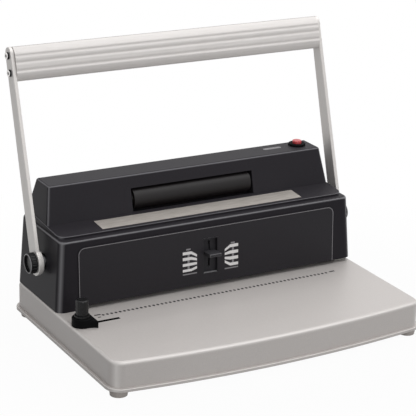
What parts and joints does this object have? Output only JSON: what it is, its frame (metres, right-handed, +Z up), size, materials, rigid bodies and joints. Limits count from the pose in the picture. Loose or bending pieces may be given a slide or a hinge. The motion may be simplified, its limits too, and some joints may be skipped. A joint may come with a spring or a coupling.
{
  "type": "binding_machine",
  "caption": "Desk coil binding machine: lever-driven punch in a black housing on a silver base, with a motor-driven rubber roller, side stop, depth selector and chip tray",
  "frame": {"origin": "on the desk plane under the middle of the whole machine with its handle at rest", "axes": "+X to the operator's right along the punched edge, +Y to the back, +Z up"},
  "size_m": [0.408, 0.2747, 0.3091],
  "materials": {
    "silver_paint": "satin silver-grey paint on sheet steel",
    "black_paint": "satin black powder coat",
    "black_film": "satin black printed face plate",
    "black_plastic": "fine-grained black moulding",
    "satin_aluminium": "satin",
    "tool_steel": "ground",
    "plated_steel": "zinc plated",
    "bronze": "sintered",
    "black_rubber": "smooth ground",
    "grey_rubber": "moulded, light grey",
    "red_lens": "translucent red lens"
  },
  "bodies": {
    "machine": {"base_cover": "silver_paint", "base_plate": "black_paint", "base_plate_screws": "plated_steel", "rubber_feet": "grey_rubber", "foot_screws": "plated_steel", "die_plate": "tool_steel", "punch_guide": "tool_steel", "guide_posts": "tool_steel", "return_springs": "plated_steel", "side_frame_left": "plated_steel", "side_frame_right": "plated_steel", "shaft_bush_left": "bronze", "shaft_bush_right": "bronze", "frame_bolts": "plated_steel", "guide_screws": "plated_steel", "housing_shell": "black_paint", "housing_screws": "plated_steel", "front_panel": "black_film", "upper_cover": "black_plastic", "cover_screws": "plated_steel", "shelf_strip": "satin_aluminium", "roller_cradle": "black_plastic", "roller_bush_left": "bronze", "roller_bush_right": "bronze", "drive_belt": "black_rubber", "motor_bracket": "plated_steel", "motor_can": "plated_steel", "switch_body": "black_plastic", "power_inlet": "black_plastic", "selector_frame": "black_plastic"},
    "handle": {"main_shaft": "tool_steel", "cam_left": "tool_steel", "cam_right": "tool_steel", "arm_left": "satin_aluminium", "arm_right": "satin_aluminium", "hub_collar_left": "satin_aluminium", "hub_collar_right": "satin_aluminium", "hub_knob_left": "black_plastic", "hub_knob_right": "black_plastic", "grip_bar": "satin_aluminium", "grip_screws": "plated_steel"},
    "punch": {"punch_bar": "tool_steel", "punch_pins": "tool_steel"},
    "roller": {"roller_core": "tool_steel", "roller_sleeve": "black_rubber", "roller_pulley": "black_plastic"},
    "motor_rotor": {"motor_shaft": "tool_steel", "motor_pulley": "black_plastic"},
    "button": {"switch_button": "red_lens"},
    "selector": {"selector_slider": "black_plastic", "selector_tab": "black_plastic"},
    "gauge": {"depth_gauge": "plated_steel"},
    "stop": {"side_stop": "black_plastic", "clamp_nut": "plated_steel"},
    "stop_knob": {"side_stop_knob": "black_plastic", "side_stop_stud": "plated_steel"},
    "tray": {"chip_tray": "black_plastic"}
  },
  "joints": [
    {"name": "handle_swing", "type": "hinge", "parent": "machine", "child": "handle", "pos_m": [0, 0.06202, 0.0848], "axis": [1, 0, 0], "range_deg": [0, 100]},
    {"name": "punch_slide", "type": "slide", "parent": "machine", "child": "punch", "axis": [0, 0, -1], "range_m": [0, 0.01105], "deforming": ["return_springs"]},
    {"name": "roller_spin", "type": "hinge", "parent": "machine", "child": "roller", "pos_m": [0.0014, 0.07851, 0.1355], "axis": [1, 0, 0], "continuous": true},
    {"name": "motor_spin", "type": "hinge", "parent": "machine", "child": "motor_rotor", "pos_m": [-0.083, 0.10292, 0.095], "axis": [1, 0, 0], "continuous": true},
    {"name": "button_press", "type": "slide", "parent": "machine", "child": "button", "axis": [0, 0, -1], "range_m": [0, 0.0025], "stiffness_N_per_m": 600},
    {"name": "gauge_slide", "type": "slide", "parent": "machine", "child": "gauge", "axis": [0, 1, 0], "range_m": [-0.00225, 0.00165]},
    {"name": "selector_slide", "type": "slide", "parent": "machine", "child": "selector", "axis": [0, 0.061, 0.9981], "range_m": [-0.01505, 0.01105]},
    {"name": "side_stop_slide", "type": "slide", "parent": "machine", "child": "stop", "axis": [1, 0, 0], "range_m": [0, 0.042]},
    {"name": "stop_knob_turn", "type": "hinge", "parent": "stop", "child": "stop_knob", "pos_m": [-0.177, -0.01908, 0.04], "axis": [0, 0, 1], "range_deg": [0, 180]},
    {"name": "tray_slide", "type": "slide", "parent": "machine", "child": "tray", "axis": [1, 0, 0], "range_m": [0, 0.25]}
  ],
  "couplings": [
    {"joint": "punch_slide", "follows": "handle_swing", "m_per_rad": 0.0063025},
    {"joint": "motor_spin", "follows": "roller_spin", "ratio": 1.7577},
    {"joint": "selector_slide", "follows": "gauge_slide", "ratio": 6.6667}
  ]
}
